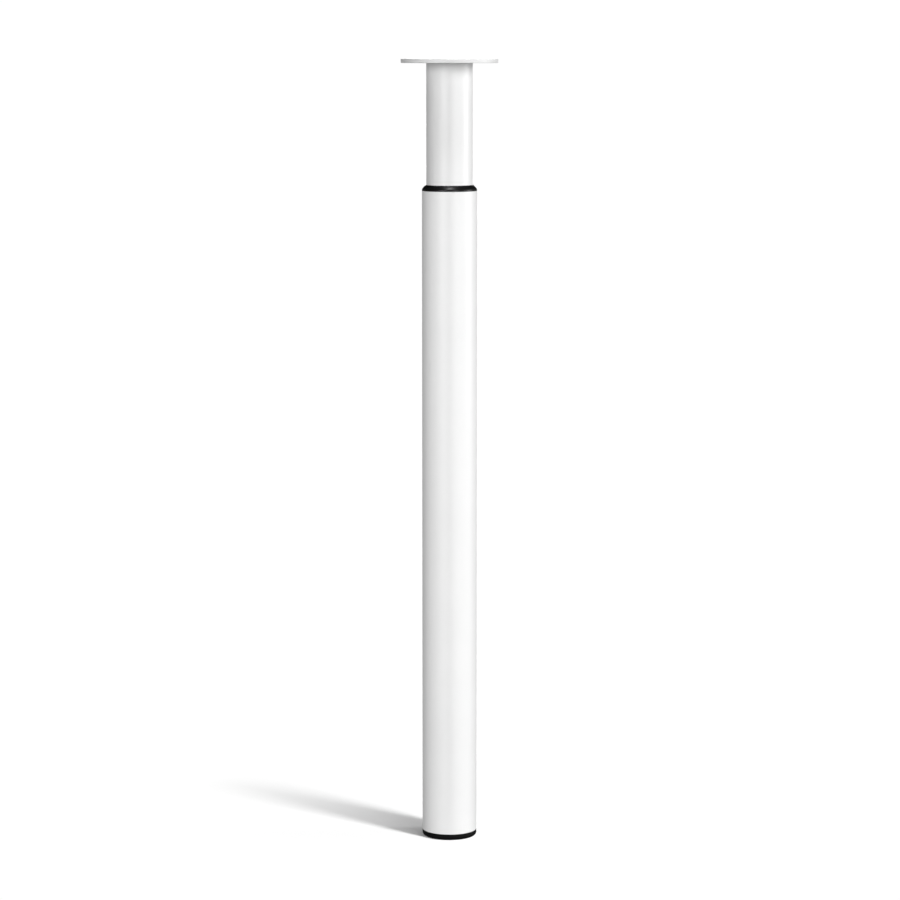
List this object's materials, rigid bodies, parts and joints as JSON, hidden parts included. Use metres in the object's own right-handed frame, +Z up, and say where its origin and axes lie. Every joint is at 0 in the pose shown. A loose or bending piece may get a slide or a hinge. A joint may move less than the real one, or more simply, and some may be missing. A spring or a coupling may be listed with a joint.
{
  "type": "height adjustable table leg",
  "caption": "Round telescopic table leg: a white upper tube slides in a wider lower tube and locks by twisting, with a screw-on top plate, a black guide collar and a black foot cap.",
  "frame": {"origin": "centre of the foot cap's underside, on the floor", "axes": "+Z up along the tubes' common axis, -Y towards the viewer of the picture"},
  "size_m": [0.088, 0.088, 0.716],
  "materials": {
    "white_paint": "satin powder coat on steel",
    "collar_black": "semi-gloss moulded black",
    "foot_black": "matt moulded black",
    "plug_plastic": "matt moulded dark grey",
    "natural_nylon": "natural nylon",
    "zinc_steel": "bright zinc plating"
  },
  "bodies": {
    "lower": {"lower_tube": "white_paint", "guide_collar": "collar_black", "foot_cap": "foot_black"},
    "lock_sleeve": {"expander_sleeve": "natural_nylon"},
    "upper": {"mounting_plate": "white_paint", "weld_nut": "zinc_steel", "top_plug": "plug_plastic", "top_bolt": "zinc_steel", "upper_tube": "white_paint", "end_plug": "plug_plastic", "lock_spindle": "zinc_steel", "spindle_nut": "zinc_steel", "thrust_washer": "natural_nylon", "stop_clip": "zinc_steel"},
    "lock_cone": {"expander_cone": "plug_plastic", "cone_nut": "zinc_steel"}
  },
  "joints": [
    {"name": "height_slide", "type": "slide", "parent": "lower", "child": "lock_sleeve", "axis": [0, 0, 1], "range_m": [-0.109, 0.184]},
    {"name": "twist_lock", "type": "hinge", "parent": "lock_sleeve", "child": "upper", "pos_m": [0, 0, 0.3], "axis": [0, 0, 1], "range_deg": [0, 720]},
    {"name": "cone_travel", "type": "slide", "parent": "lock_sleeve", "child": "lock_cone", "axis": [0, 0, 1], "range_m": [-0.0031, 0]}
  ],
  "couplings": [
    {"joint": "cone_travel", "follows": "twist_lock", "m_per_rad": -0.00023873}
  ]
}
